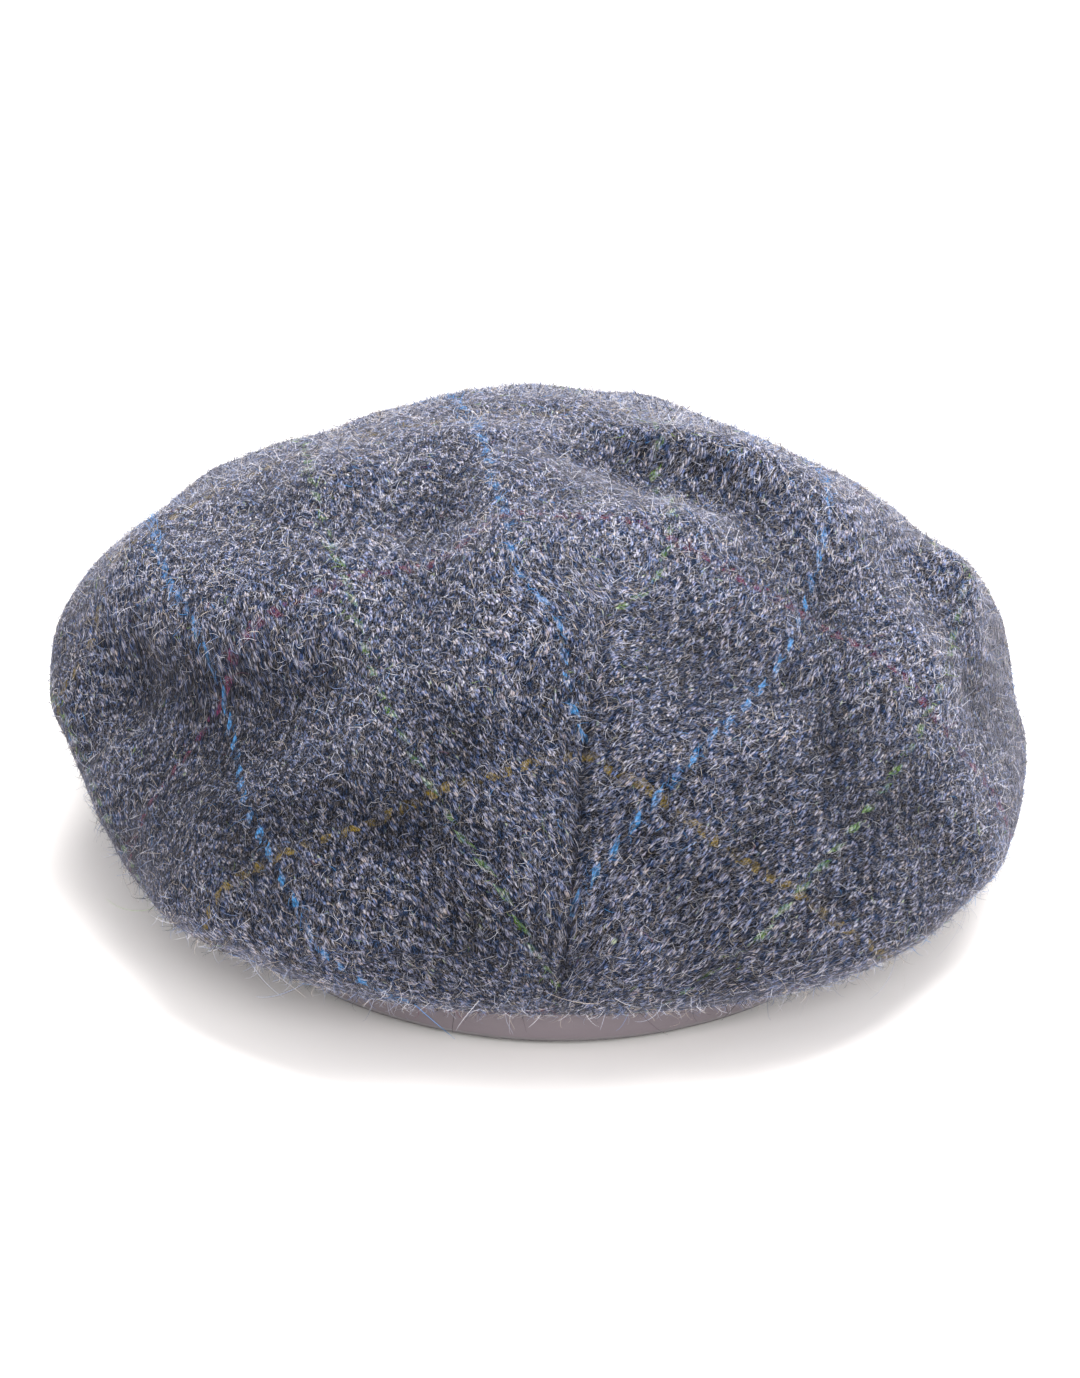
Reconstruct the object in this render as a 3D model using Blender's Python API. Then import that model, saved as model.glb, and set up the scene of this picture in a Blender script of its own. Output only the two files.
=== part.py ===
"""A soft flat cap of wool tweed, lying on a table as it would by itself.

One piece of cloth makes the crown. A seam up the centre back closes a wedge in it, and its
front edge is sewn down on the stiff peak. The sweatband stands inside the head opening, shows
a little below the cloth, and carries the cap on the table.

Lengths are in metres, +Z is up, the peak points to -Y and the wearer's left is +X. A direction
round the cap is an azimuth in degrees: 0 at the centre back (+Y), 90 at the wearer's left and
180 at the front.
"""

from collections import namedtuple

import bmesh
import bpy
import numpy as np

# The head opening and the sweatband that lines it
HEAD_LENGTH = 0.200
HEAD_WIDTH = 0.166
BAND_WALL = 0.0015
BAND_HEIGHT = 0.034

# Room left between two pieces that are sewn together
SEWN_GAP = 0.0005

# The crown's cloth, the height of its top before the folds, its hem above the table, how far it
# stands out past the hem, and where its top lies, measured from the middle of the head
CROWN_WALL = 0.0022
CROWN_HEIGHT = 0.104
HEM_HEIGHT = 0.0095
OVERHANG = 0.026
APEX_BACK = 0.012
APEX_LEFT = 0.004

# The peak: how far it reaches in front of the head and at its two ends, half the arc that it
# takes up, its wall and the rounding of its edges
PEAK_REACH = 0.052
PEAK_END_REACH = 0.003
PEAK_HALF_ARC = 66.0
PEAK_WALL = 0.0036
PEAK_ROUNDING = 0.0012

# The peak's ends stand this high, its middle arches over the forehead, and it falls away to the
# front by PEAK_DROP degrees. The crown's front edge is sewn on that far behind the peak's edge
PEAK_END_HEIGHT = 0.0088
PEAK_ARCH = 0.012
PEAK_DROP = 14.0
CROWN_SET_BACK = 0.012

# How fast the peak and the crown's front edge on it draw back towards the ends: more is faster
PEAK_DRAW_BACK = 0.9
FRONT_DRAW_BACK = 1.2

# The seam up the centre back: its groove, the rise at which it ends after fading out over
# SEAM_FADE, and how many degrees it leans to the right by there
SEAM_DEPTH = 0.0014
SEAM_WIDTH = 0.0024
SEAM_TOP = 0.66
SEAM_FADE = 0.10
SEAM_LEAN = 8.0

# The size of a fold, which the table of folds counts in
FOLD_WIDTH = 0.020
FOLD_DEPTH = 0.006

# Colours, as linear red, green and blue
TWEED_COLOUR = (0.10, 0.12, 0.17)
SATIN_COLOUR = (0.27, 0.22, 0.25)

# How finely the cloth is divided. The columns beside the seam are in degrees from it
CROWN_COLUMNS = 72
SEAM_COLUMNS = (-2.4, -1.1, 1.1, 2.4)
UNDER_ROWS = 6
OVER_ROWS = 14
BAND_COLUMNS = 72
BAND_ROWS = 4
PEAK_COLUMNS = 32
PEAK_ROWS = 5
FOLD_SAMPLES = 25

# The crown's profile every 30 degrees round. overhang is a share of OVERHANG, and bulge, the
# height of the widest point, a share of CROWN_HEIGHT. shoulder and flat are the lengths of the
# profile's two handles, as shares of its rise and of its reach.
Section = namedtuple("Section", "azimuth overhang bulge shoulder flat")
SECTIONS = (
    Section(0, 0.55, 0.41, 0.55, 0.50),
    Section(30, 0.92, 0.33, 0.55, 0.50),
    Section(60, 0.97, 0.25, 0.49, 0.52),
    Section(90, 0.97, 0.40, 0.44, 0.59),
    Section(120, 0.85, 0.32, 0.41, 0.48),
    Section(150, 0.42, 0.27, 0.23, 0.35),
    Section(180, 0.17, 0.26, 0.17, 0.39),
    Section(210, 0.34, 0.24, 0.21, 0.38),
    Section(240, 0.88, 0.28, 0.38, 0.34),
    Section(270, 0.94, 0.32, 0.61, 0.55),
    Section(300, 0.92, 0.23, 0.55, 0.55),
    Section(330, 0.92, 0.26, 0.54, 0.51),
)

# Each fold runs from one azimuth and rise to another, the rise going from 0 at the hem to 1 at
# the top. width and depth are shares of FOLD_WIDTH and FOLD_DEPTH, and a valley's depth is
# below 0.
Fold = namedtuple("Fold", "name azimuth rise to_azimuth to_rise width depth")
FOLDS = (
    Fold("valley across the top", 160, 0.93, 222, 0.965, 0.40, -0.55),
    Fold("its near end", 292, 0.95, 296, 0.83, 0.40, -0.75),
    Fold("roll in front of it", 252, 0.90, 280, 0.81, 0.60, 0.45),
    Fold("valley left of centre", 90, 0.91, 42, 0.86, 0.50, -0.60),
    Fold("its lower end", 32, 0.81, 18, 0.68, 0.65, -0.65),
    Fold("puff at the left", 74, 0.76, 50, 0.70, 1.20, 0.45),
    Fold("ridge up to the seam", 20, 0.90, 2, 0.72, 0.80, 0.40),
    Fold("sag at the left side", 78, 0.44, 38, 0.58, 0.75, -1.10),
    Fold("its tail down the back", 38, 0.58, 20, 0.42, 0.70, -0.55),
    Fold("knuckle before the sag", 97, 0.35, 88, 0.32, 0.60, 0.85),
    Fold("bulge over the sag", 84, 0.55, 58, 0.63, 0.75, 0.50),
    Fold("corner at the left", 115, 0.49, 96, 0.52, 0.80, 0.85),
    Fold("step above the corner", 120, 0.58, 111, 0.61, 0.40, -0.45),
    Fold("shoulder over the step", 126, 0.63, 118, 0.66, 0.55, 0.50),
    Fold("crease at the right", -104, 0.57, -60, 0.65, 0.40, -0.85),
    Fold("roll behind the crease", -78, 0.71, -61, 0.68, 0.50, 0.40),
    Fold("dip at the right side", -93, 0.33, -58, 0.48, 0.50, -0.60),
    Fold("bulge under the dip", -88, 0.22, -46, 0.30, 0.60, 0.35),
    Fold("pucker left of the seam", 6, 0.56, 11, 0.30, 0.40, -0.35),
    Fold("pucker right of the seam", -6, 0.52, -14, 0.28, 0.45, -0.35),
)

# Shares of the rise: what the cloth under the widest point takes, what the hem holds flat, and
# where the row of points that keeps the hem level lies
UNDER_SHARE = 0.3
HEM_HOLD = 0.1
HEM_ROW = 0.01

# Lengths of the handles of the cloth's curve under the widest point, as shares of its reach from
# the hem and of its height
UNDER_FLAT = 0.6
UNDER_STEEP = 0.5

# Points of two neighbouring faces this close are one
MERGE_DISTANCE = 1e-6


def around(column, azimuth):
    """A column of SECTIONS at any azimuth, read from a smooth closed curve through its rows."""
    values = np.array([getattr(section, column) for section in SECTIONS])
    place = np.asarray(azimuth) * len(SECTIONS) / 360
    row = np.floor(place).astype(int)
    t = place - row
    before, here, after, beyond = (values[(row + k) % len(values)] for k in (-1, 0, 1, 2))
    bend = 2 * before - 5 * here + 4 * after - beyond
    twist = 3 * (here - after) + beyond - before
    return here + 0.5 * t * (after - before + t * (bend + t * twist))


def reach_to_oval(azimuth, clear):
    """Distance from the crown's axis to an oval that stands that far clear of the head."""
    angle = np.radians(azimuth)
    across, along = np.sin(angle), np.cos(angle)
    half_width, half_length = HEAD_WIDTH / 2 + clear, HEAD_LENGTH / 2 + clear
    a = (across / half_width) ** 2 + (along / half_length) ** 2
    b = APEX_LEFT * across / half_width**2 + APEX_BACK * along / half_length**2
    c = (APEX_LEFT / half_width) ** 2 + (APEX_BACK / half_length) ** 2 - 1
    return (np.sqrt(b * b - a * c) - b) / a


def over_peak(azimuth):
    """1 at the centre of the peak, falling to 0 at its two ends, and 0 past them."""
    from_front = np.abs((np.asarray(azimuth) % 360) - 180)
    return np.cos(np.radians(90 * np.clip(from_front / PEAK_HALF_ARC, 0, 1)))


def peak_height(azimuth, outward):
    """Height of the peak's upper face, that far outward from its inner edge."""
    arch = PEAK_END_HEIGHT + PEAK_ARCH * over_peak(azimuth)
    return arch - np.tan(np.radians(PEAK_DROP)) * outward


def bezier(points, t):
    """A cubic curve through four numbers or arrays."""
    a, b, c, d = points
    return a * (1 - t) ** 3 + 3 * b * t * (1 - t) ** 2 + 3 * c * t * t * (1 - t) + d * t**3


def plan_point(azimuth, radius, height):
    """The point at that azimuth and radius from the crown's axis."""
    angle = np.radians(azimuth)
    x = APEX_LEFT + radius * np.sin(angle)
    y = APEX_BACK + radius * np.cos(angle)
    return np.stack(np.broadcast_arrays(x, y, height), axis=-1)


def peak_root(azimuth):
    """Radius of the peak's inner edge, whose slanting rim stays clear of the sweatband."""
    rim = PEAK_WALL * np.sin(np.radians(PEAK_DROP))
    return reach_to_oval(azimuth, BAND_WALL + SEWN_GAP + rim)


def hem_of(azimuth):
    """Radius and height of the crown's hem: at the sweatband, and in front on the peak."""
    on_peak = (PEAK_REACH - CROWN_SET_BACK) * over_peak(azimuth) ** FRONT_DRAW_BACK
    radius = reach_to_oval(azimuth, BAND_WALL + SEWN_GAP) + on_peak
    above_peak = peak_height(azimuth, radius - peak_root(azimuth)) + SEWN_GAP
    return radius, np.maximum(HEM_HEIGHT, above_peak)


def smooth_crown(azimuth, rise):
    """The crown's outer face before its folds, as points for arrays of azimuth and rise."""
    hem_radius, hem_height = hem_of(azimuth)
    wide_radius = hem_radius + OVERHANG * around("overhang", azimuth)
    wide_height = CROWN_HEIGHT * around("bulge", azimuth)
    climb = CROWN_HEIGHT - wide_height
    drop = wide_height - hem_height
    under = np.clip(rise / UNDER_SHARE, 0, 1)
    over = np.clip((rise - UNDER_SHARE) / (1 - UNDER_SHARE), 0, 1)
    level_to = hem_radius + UNDER_FLAT * (wide_radius - hem_radius)
    steep_from = wide_height - UNDER_STEEP * drop
    radius_under = bezier((hem_radius, level_to, wide_radius, wide_radius), under)
    height_under = bezier((hem_height, hem_height, steep_from, wide_height), under)
    flat_from = around("flat", azimuth) * wide_radius
    steep_to = wide_height + around("shoulder", azimuth) * climb
    radius_over = bezier((wide_radius, wide_radius, flat_from, 0), over)
    height_over = bezier((wide_height, steep_to, CROWN_HEIGHT, CROWN_HEIGHT), over)
    below = rise < UNDER_SHARE
    radius = np.where(below, radius_under, radius_over)
    height = np.where(below, height_under, height_over)
    return plan_point(azimuth, radius, height)


def ring_normals(points):
    """Unit normals, facing out, of a ring of columns of points that all end in the top point."""
    across = np.roll(points, -1, axis=0) - np.roll(points, 1, axis=0)
    along = np.gradient(points, axis=1)
    normals = np.cross(across, along)
    normals[:, -1] = (0, 0, 1)
    return normals / np.linalg.norm(normals, axis=2, keepdims=True)


def fold_heights(points):
    """How far the folds make each point of the crown stand out or in."""
    heights = np.zeros(points.shape[:2])
    share = np.linspace(0, 1, FOLD_SAMPLES)
    for fold in FOLDS:
        azimuths = fold.azimuth + share * (fold.to_azimuth - fold.azimuth)
        rises = fold.rise + share * (fold.to_rise - fold.rise)
        path = smooth_crown(azimuths, rises)
        away = np.linalg.norm(points[:, :, None] - path, axis=3).min(axis=2)
        widths_away = away / (FOLD_WIDTH * fold.width)
        heights += FOLD_DEPTH * fold.depth * np.exp(-(widths_away**2))
    return heights


def seam_heights(from_seam, rise, points):
    """The groove of the centre-back seam, for points that many degrees round from it."""
    radius = np.hypot(points[..., 0] - APEX_LEFT, points[..., 1] - APEX_BACK)
    aside = radius * np.radians(from_seam)
    fade = np.clip((SEAM_TOP - rise) / SEAM_FADE, 0, 1)
    return -SEAM_DEPTH * fade * np.exp(-((aside / SEAM_WIDTH) ** 2))


def crown_face(columns, rows):
    """The crown's outer face: a ring of columns of points, from the hem to the top.

    columns are degrees round from the seam, which leans, and rows are shares of the rise. The
    hem is sewn down, so the folds start above it.
    """
    from_seam, rise = np.meshgrid(columns, rows, indexing="ij")
    lean = SEAM_LEAN * rise / SEAM_TOP * np.cos(np.radians(from_seam / 2)) ** 2
    points = smooth_crown(from_seam - lean, rise)
    heights = fold_heights(points) + seam_heights(from_seam, rise, points)
    heights *= np.clip(rise / HEM_HOLD, 0, 1) ** 2
    heights[:, -1] = heights[:, -2].mean()
    return points + heights[..., None] * ring_normals(points)


def sheet_object(name, grid, colour, roughness):
    """An object whose mesh is a sheet through a grid of points, with doubled points merged."""
    columns, rows = grid.shape[0] - 1, grid.shape[1] - 1
    sheet = bmesh.new()
    bmesh.ops.create_grid(sheet, x_segments=columns, y_segments=rows, size=1.0)
    for corner in sheet.verts:
        column = round((corner.co.x + 1) / 2 * columns)
        row = round((corner.co.y + 1) / 2 * rows)
        corner.co = grid[column, row]
    bmesh.ops.remove_doubles(sheet, verts=sheet.verts, dist=MERGE_DISTANCE)
    mesh = bpy.data.meshes.new(name)
    sheet.to_mesh(mesh)
    sheet.free()
    mesh.shade_smooth()
    piece = bpy.data.objects.new(name, mesh)
    bpy.context.scene.collection.objects.link(piece)
    mesh.materials.append(cloth(name, colour, roughness))
    return piece


def cloth(name, colour, roughness):
    """A plain material of that colour and roughness."""
    material = bpy.data.materials.new(name)
    material.use_nodes = True
    shader = material.node_tree.nodes["Principled BSDF"]
    shader.inputs["Base Color"].default_value = (*colour, 1)
    shader.inputs["Roughness"].default_value = roughness
    shader.inputs["Metallic"].default_value = 0
    return material


def thicken(piece, wall):
    """Gives a sheet its wall, behind the face that it was made with."""
    modifier = piece.modifiers.new("wall", "SOLIDIFY")
    modifier.thickness = wall
    modifier.offset = -1
    modifier.use_even_offset = True


def make_crown():
    """The tweed crown, one piece of cloth with its seam and folds."""
    even = np.linspace(180, -180, CROWN_COLUMNS, endpoint=False)
    columns = np.sort(np.concatenate([even, SEAM_COLUMNS]))[::-1]
    under = np.linspace(0, UNDER_SHARE, UNDER_ROWS, endpoint=False)
    over = np.linspace(UNDER_SHARE, 1, OVER_ROWS + 1)
    rows = np.sort(np.concatenate([under, [HEM_ROW], over]))
    face = crown_face(columns, rows)
    closed = np.concatenate([face, face[:1]])
    crown = sheet_object("crown", closed, TWEED_COLOUR, 0.95)
    thicken(crown, CROWN_WALL)
    return crown


def make_sweatband():
    """The satin band inside the head opening, whose lower edge stands on the table."""
    azimuths = np.linspace(180, -180, BAND_COLUMNS + 1)
    heights = np.linspace(0, BAND_HEIGHT, BAND_ROWS + 1)
    azimuth, height = np.meshgrid(azimuths, heights, indexing="ij")
    grid = plan_point(azimuth, reach_to_oval(azimuth, BAND_WALL), height)
    band = sheet_object("sweatband", grid, SATIN_COLOUR, 0.5)
    thicken(band, BAND_WALL)
    return band


def make_peak():
    """The stiff peak, covered with the same tweed, from the sweatband out to its rounded edge."""
    azimuths = 180 + PEAK_HALF_ARC * np.linspace(-1, 1, PEAK_COLUMNS + 1)
    azimuth, share = np.meshgrid(azimuths, np.linspace(0, 1, PEAK_ROWS + 1), indexing="ij")
    past_ends = (PEAK_REACH - PEAK_END_REACH) * over_peak(azimuth) ** PEAK_DRAW_BACK
    outward = share * (PEAK_END_REACH + past_ends)
    radius = peak_root(azimuth) + outward
    grid = plan_point(azimuth, radius, peak_height(azimuth, outward))
    peak = sheet_object("peak", grid, TWEED_COLOUR, 0.95)
    thicken(peak, PEAK_WALL)
    bevel = peak.modifiers.new("rounded edge", "BEVEL")
    bevel.width = PEAK_ROUNDING
    bevel.segments = 2
    bevel.limit_method = "ANGLE"
    return peak


def stand_on_origin(pieces):
    """Parents the pieces to an empty that brings the middle of their foot to the origin."""
    bpy.context.view_layer.update()
    graph = bpy.context.evaluated_depsgraph_get()
    boxes = [piece.evaluated_get(graph).bound_box for piece in pieces]
    corners = np.array([corner[:] for box in boxes for corner in box])
    lowest, highest = corners.min(axis=0), corners.max(axis=0)
    middle = (lowest + highest) / 2
    cap = bpy.data.objects.new("cap", None)
    bpy.context.scene.collection.objects.link(cap)
    cap.location = (-middle[0], -middle[1], -lowest[2])
    for piece in pieces:
        piece.parent = cap


def main():
    """Clears the scene and makes the cap."""
    for old in list(bpy.data.objects):
        bpy.data.objects.remove(old)
    stand_on_origin([make_crown(), make_sweatband(), make_peak()])


main()
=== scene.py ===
"""Looks of a soft wool flat cap that lies on its opening, seen from behind and a little above.

The crown is one piece of brushed tweed with a dart sewn down the centre back, the peak is a board
covered in the same tweed, and the sweatband is satin. Lengths are in metres unless their names end
in _mm, and angles in degrees unless theirs end in _rad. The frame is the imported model's: +Z up,
the peak to -Y, the back seam to +Y, and the wearer's left to +X.
"""
import logging
import math
from collections.abc import Sequence
from dataclasses import dataclass, field
from enum import Enum

import bmesh
import bpy
import numpy as np
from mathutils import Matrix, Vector, noise


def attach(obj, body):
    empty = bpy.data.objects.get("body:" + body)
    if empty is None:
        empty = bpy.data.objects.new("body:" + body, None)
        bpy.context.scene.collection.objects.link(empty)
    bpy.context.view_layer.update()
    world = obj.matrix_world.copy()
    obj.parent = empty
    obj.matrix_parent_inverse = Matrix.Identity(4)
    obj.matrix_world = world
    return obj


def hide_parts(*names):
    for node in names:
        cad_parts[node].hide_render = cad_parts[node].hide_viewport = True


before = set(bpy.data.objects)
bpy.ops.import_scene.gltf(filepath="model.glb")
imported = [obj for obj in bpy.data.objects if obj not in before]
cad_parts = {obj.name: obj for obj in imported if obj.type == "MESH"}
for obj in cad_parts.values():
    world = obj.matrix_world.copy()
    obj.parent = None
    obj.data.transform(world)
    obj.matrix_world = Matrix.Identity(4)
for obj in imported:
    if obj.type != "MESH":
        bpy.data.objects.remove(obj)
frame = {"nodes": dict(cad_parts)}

logging.basicConfig(level=logging.INFO, format="%(message)s")
LOG = logging.getLogger("flat_cap")

Tree = bpy.types.NodeTree
Node = bpy.types.Node
Socket = bpy.types.NodeSocket
Material = bpy.types.Material
Span = tuple[float, float]
Place = tuple[float, float, float]
Stops = tuple[tuple[float, str], ...]

ROOT = "root"
CLOTH_MAP = "cloth"
SEAM_MAP = "seam"
HAIR_MAP = "hair"
# the nap map also carries painted light and shade
NAP_AND_SHADE_MAP = "nap"
MM = 0.001
# points of a CAD mesh up to this far apart are one, and two of its triangles that bend and skew
# up to these angles are a quad
WELD_GAP = 0.01 * MM
QUAD_BEND = 50
QUAD_SKEW = 70
# the twill goes over two threads and under two
TWILL_FLOAT = 2
TWILL_REPEAT = 4
# the nap as it is on flat cloth, where 0 is matted down and 1 is raised
PLAIN_NAP = 0.5


def linear(code: str) -> tuple[float, float, float, float]:
    """Turns an sRGB colour into the linear one that shaders take.

    Args:
        code: six hexadecimal digits, red first.

    Returns:
        Red, green, blue and alpha.
    """
    shares = [int(code[i:i + 2], 16) / 255 for i in (0, 2, 4)]
    light = [s / 12.92 if s <= 0.04045 else ((s + 0.055) / 1.055) ** 2.4 for s in shares]
    return (*light, 1.0)


def scale_for(grain_mm: float) -> float:
    """Turns the real size of a pattern's grain into the scale of a texture that draws it."""
    return 1 / (grain_mm * MM)


def set_inputs(tree: Tree, node: Node, inputs: dict | Sequence) -> None:
    """Sets or links a shader node's inputs.

    Args:
        tree: the material's node tree.
        node: the node.
        inputs: constants, or the outputs that feed them, in order or by name or number.
    """
    for name, value in inputs.items() if isinstance(inputs, dict) else enumerate(inputs):
        if isinstance(value, Socket):
            tree.links.new(value, node.inputs[name])
        else:
            node.inputs[name].default_value = value


def add_node(
    tree: Tree, kind: str, inputs: dict | Sequence = (), output: int | str = 0, **settings: object
) -> Socket:
    """Adds a shader node with its settings and links.

    Args:
        tree: the material's node tree.
        kind: Blender's name for the node type, after "ShaderNode".
        inputs: constants, or the outputs that feed them, in order or by name or number.
        output: the number or name of the output that is used.
        settings: the node's own properties.

    Returns:
        That output.
    """
    node = tree.nodes.new(f"ShaderNode{kind}")
    for name, value in settings.items():
        setattr(node, name, value)
    set_inputs(tree, node, inputs)
    return node.outputs[output]


def set_ramp(node: Node, stops: Stops, mode: str = "LINEAR") -> None:
    """Sets a colour ramp's stops.

    Args:
        node: the ramp's node.
        stops: the place and the hex colour of each stop, in order.
        mode: Blender's name for how the ramp runs between them.
    """
    ramp = node.color_ramp
    ramp.interpolation = mode
    while len(ramp.elements) < len(stops):
        ramp.elements.new(1.0)
    for element, (place, code) in zip(ramp.elements, stops):
        element.position = place
        element.color = linear(code)


def new_material(name: str) -> tuple[Material, Tree, Node]:
    """Makes a node material.

    Args:
        name: the material's name.

    Returns:
        The material, its node tree and its Principled shader.
    """
    material = bpy.data.materials.new(name)
    material.use_nodes = True
    return material, material.node_tree, material.node_tree.nodes["Principled BSDF"]


class CheckLine(Enum):
    """The coloured threads of the tweed's overcheck: hex colour, and how much of it shows."""

    SKY = ("3a8ccc", 0.85)
    LIME = ("7aa838", 0.4)
    WINE = ("6d2340", 0.85)
    MUSTARD = ("7c6820", 0.9)

    @property
    def colour(self) -> tuple[float, float, float, float]:
        """Gives the thread's linear colour."""
        return linear(self.value[0])

    @property
    def shown(self) -> float:
        """Gives how much of the thread shows."""
        return self.value[1]


@dataclass(frozen=True)
class HairStroke:
    """One way in which the brushed hairs lie: how it is turned, and a hair's size on the cloth."""

    turn_rad: float
    across_mm: float
    along_mm: float


@dataclass(frozen=True)
class Tweed:
    """Woollen tweed, woven as a 2/2 herringbone twill of mixed yarn and brushed.

    Light warp yarns lie over dark weft ones, and the twill turns back at every seventh of them.
    The brushing has broken each float up into short tufts with dark gaps between them, where the
    darkness is painted shade; pale hairs lie over them all ways, and single bright threads draw a
    large check. The cloth's brightness follows the nap map, which holds painted light and shade:
    lighter on the rolls and towards the top, darker in the hollows. The nap's own patches are a
    centimetre wide, and the patches where a check thread is worn or faded are 2 and 7 mm. A name
    that ends in _span is the part of a pattern's values that is used, and _shown is what it is
    stretched to.
    """

    name: str = "wool_tweed_brushed_herringbone"
    tufts: Stops = (
        (0.00, "020305"), (0.34, "05070c"), (0.52, "0f1520"), (0.62, "38415b"), (0.73, "7d849d"),
        (0.86, "a8a8b8"), (0.97, "c4c2cb"),
    )
    dyes: Stops = (
        (0.00, "f4f2f5"), (0.28, "f0e2d6"), (0.44, "bccbee"), (0.58, "e2dff0"), (0.78, "ffffff"),
        (0.88, "9fb8e8"), (0.93, "e0cbbf"), (0.97, "cfdfb4"),
    )
    hairs: Stops = (
        (0.36, "43608f"), (0.44, "858ba8"), (0.52, "b6b7c8"), (0.58, "a09389"), (0.64, "7682a4"),
    )
    # painted shade: the near-black colour in the gaps between the tufts
    gap_shade: str = "040509"
    gap_shade_span: Span = (0.2, 0.58)
    gap_shade_shown: Span = (0.0, 0.95)
    end_mm: float = 1.17
    pick_mm: float = 1.4
    stripe_mm: float = 8.2
    stripe_start_mm: float = 8.9
    warp_share: float = 0.3
    tuft_mm: Span = (0.45, 1.05)
    tuft_randomness: float = 0.9
    wander_mm: float = 2.0
    wander_grain_mm: float = 3.333
    check_mm: Span = (42.7, 52.0)
    thread_mm: float = 1.0
    thread_in_gaps: float = 0.25
    worn_grain_mm: float = 1.923
    worn_span: Span = (0.42, 0.56)
    worn_shown: Span = (0.15, 1.1)
    faded_grain_mm: float = 7.143
    faded_span: Span = (0.40, 0.58)
    faded_shown: Span = (0.3, 1.25)
    nap_grain_mm: float = 11.765
    nap_patches: float = 1.35
    # the nap map, with its painted light and shade, turned into the cloth's brightness
    nap_and_light_span: Span = (0.66, 1.69)
    nap_and_light_shown: Span = (0.39, 1.48)
    hair_lot_mm: float = 1.613
    hair_strokes: tuple[HairStroke, ...] = (
        HairStroke(0.5, 0.1923, 1.111), HairStroke(2.1, 1.111, 0.1786),
        HairStroke(1.2, 0.2381, 0.9091),
    )
    hair_bend: float = 1.2
    hair_span: Span = (0.56, 0.66)
    hair_shown: Span = (0.0, 0.5)
    # painted shade in the bottom of the seam's groove
    seam_shade_colour: str = "0c0d13"
    seam_mm: Span = (1.0, 0.2)
    seam_start_mm: Span = (-12.0, 22.0)
    seam_grain_mm: float = 2.381
    seam_span: Span = (0.35, 0.6)
    seam_shown: Span = (0.75, 0.25)
    lump_mm: float = 1.111
    lump_relief: float = 1.3
    hair_relief: float = 0.6
    relief_mm: float = 0.5
    relief_strength: float = 0.8
    roughness: float = 0.93
    gloss: float = 0.06
    sheen_span: Span = (0.45, 1.0)
    sheen_shown: Span = (0.06, 0.6)
    sheen_roughness: float = 0.45
    sheen_tint: str = "c8c6d4"

    def warp_lies_up(self, places: np.ndarray) -> np.ndarray:
        """Says where the warp lies over the weft.

        Args:
            places: places across and along the warp in metres, one to a row.

        Returns:
            True where the warp is up.
        """
        turn = 2 * self.stripe_mm
        across = (places[:, 0] / MM - self.stripe_start_mm) % turn
        across = np.minimum(across, turn - across)
        step = across / self.end_mm + places[:, 1] / MM / self.pick_mm
        return step % TWILL_REPEAT < TWILL_FLOAT

    def check_thread(self, places: np.ndarray) -> np.ndarray:
        """Says which of the check's threads is at each place.

        Args:
            places: places across and along the warp in metres, one to a row.

        Returns:
            The thread's place in CheckLine, counted from 0, or -1 for the plain ground.
        """
        found = np.full(len(places), -1)
        for axis, pitch in enumerate(self.check_mm):
            count = places[:, axis] / (pitch * MM)
            near = np.rint(count)
            on_line = np.abs(count - near) < self.thread_mm / pitch
            found = np.where(on_line, 2 * axis + (near % 2 > 0.5), found)
        return found

    def make(self) -> Material:
        """Builds the material on the piece's own cloth map, whose unit is a metre."""
        material, tree, shader = new_material(self.name)
        flat = add_node(tree, "UVMap", uv_map=CLOTH_MAP)
        threads = self._wander(tree, flat)
        distance, colour, middle = self._tufts(tree, threads)
        colour = self._yarn_colour(tree, colour, self._warp_up(tree, middle))
        # painted shade: each tuft darkens towards that near-black colour at its edges
        deep = add_node(tree, "MapRange", (distance, *self.gap_shade_span, *self.gap_shade_shown))
        shades = {0: deep, 6: colour, 7: linear(self.gap_shade)}
        colour = add_node(tree, "Mix", shades, output=2, data_type="RGBA")
        # the cloth's brightness from the nap map, with painted light and shade: lighter on the
        # rolls and towards the top, darker in the hollows
        raised = self._nap_light_and_shade(tree, flat)
        lit = {0: colour, "Scale": raised}
        colour = add_node(tree, "VectorMath", lit, operation="SCALE")
        colour = self._check(tree, colour, threads, flat, deep)
        # the pale hairs show more where that painted light is brighter
        hairs = add_node(tree, "Math", (self._hairs(tree, flat), raised), operation="MULTIPLY")
        clouds = {"Vector": flat, "Scale": scale_for(self.hair_lot_mm), "Detail": 1.0}
        hair = add_node(tree, "ValToRGB", (add_node(tree, "TexNoise", clouds),))
        set_ramp(hair.node, self.hairs)
        shades = {0: hairs, 6: colour, 7: hair}
        colour = add_node(tree, "Mix", shades, output=2, data_type="RGBA")
        aslant = add_node(tree, "LayerWeight", output="Facing")
        set_inputs(tree, shader, {
            "Base Color": self._seam_shade(tree, colour, flat),
            "Normal": self._bump(tree, deep, hairs, flat),
            "Roughness": self.roughness,
            "Specular IOR Level": self.gloss,
            "Sheen Weight": add_node(
                tree, "MapRange", (aslant, *self.sheen_span, *self.sheen_shown)
            ),
            "Sheen Roughness": self.sheen_roughness,
            "Sheen Tint": linear(self.sheen_tint),
        })
        return material

    def _wander(self, tree: Tree, flat: Socket) -> Socket:
        """Lets the yarns wander a little.

        Args:
            tree: the material's node tree.
            flat: the place on the cloth.

        Returns:
            The place among the threads.
        """
        clouds = {"Vector": flat, "Scale": scale_for(self.wander_grain_mm), "Detail": 3.0}
        drift = add_node(tree, "TexNoise", clouds, output="Color")
        centred = add_node(tree, "VectorMath", (drift, (0.5, 0.5, 0.5)), operation="SUBTRACT")
        terms = (centred, (self.wander_mm * MM,) * 3, flat)
        return add_node(tree, "VectorMath", terms, operation="MULTIPLY_ADD")

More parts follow.
